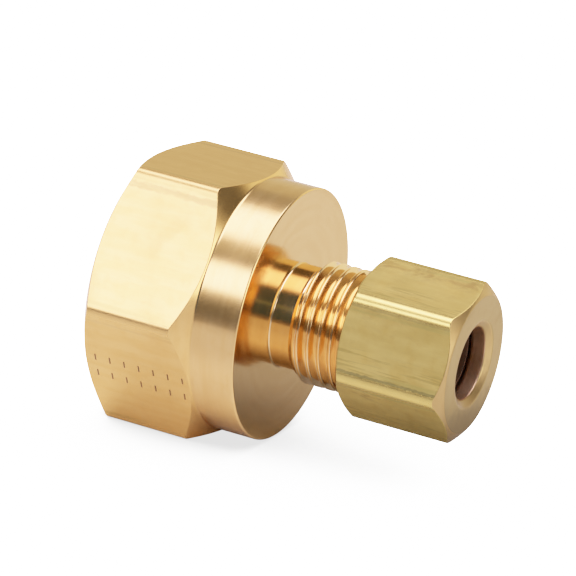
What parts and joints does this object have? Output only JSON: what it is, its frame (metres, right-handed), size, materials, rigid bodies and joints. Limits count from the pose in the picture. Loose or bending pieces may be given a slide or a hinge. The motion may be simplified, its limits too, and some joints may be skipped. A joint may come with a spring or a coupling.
{
  "type": "compression fitting",
  "caption": "Brass compression fitting: a tube compression end with nut and sleeve, joined to a large hexagonal body with a female pipe thread.",
  "frame": {"origin": "on the fitting's axis, halfway between the pipe end face and the nut's outer face, with the nut in its rest place", "axes": "+X along the axis, from the female pipe end towards the compression nut; one flat of the body's hexagon faces -Z; +Y completes the right-handed frame"},
  "size_m": [0.0322, 0.0264, 0.023],
  "materials": {
    "body_brass": "bare brass, milled hexagon with faint machining scratches and a satin turned shoulder, neck and thread",
    "nut_brass": "bare drawn brass hexagon with long fine draw lines, turned end face, slightly greener than the body",
    "sleeve_brass": "bare turned brass, satin"
  },
  "bodies": {
    "adapter_body": {"adapter_body": "body_brass"},
    "compression_sleeve": {"compression_sleeve": "sleeve_brass"},
    "compression_nut": {"compression_nut": "nut_brass"}
  },
  "joints": [
    {"name": "sleeve_slide", "type": "slide", "parent": "adapter_body", "child": "compression_sleeve", "axis": [1, 0, 0], "range_m": [-0.00107, 0.00425]},
    {"name": "nut_spin", "type": "hinge", "parent": "compression_sleeve", "child": "compression_nut", "pos_m": [0.01098, 0, 0], "axis": [1, 0, 0], "range_deg": [-360, 1440]}
  ],
  "couplings": [
    {"joint": "sleeve_slide", "follows": "nut_spin", "m_per_rad": 0.00016844}
  ]
}
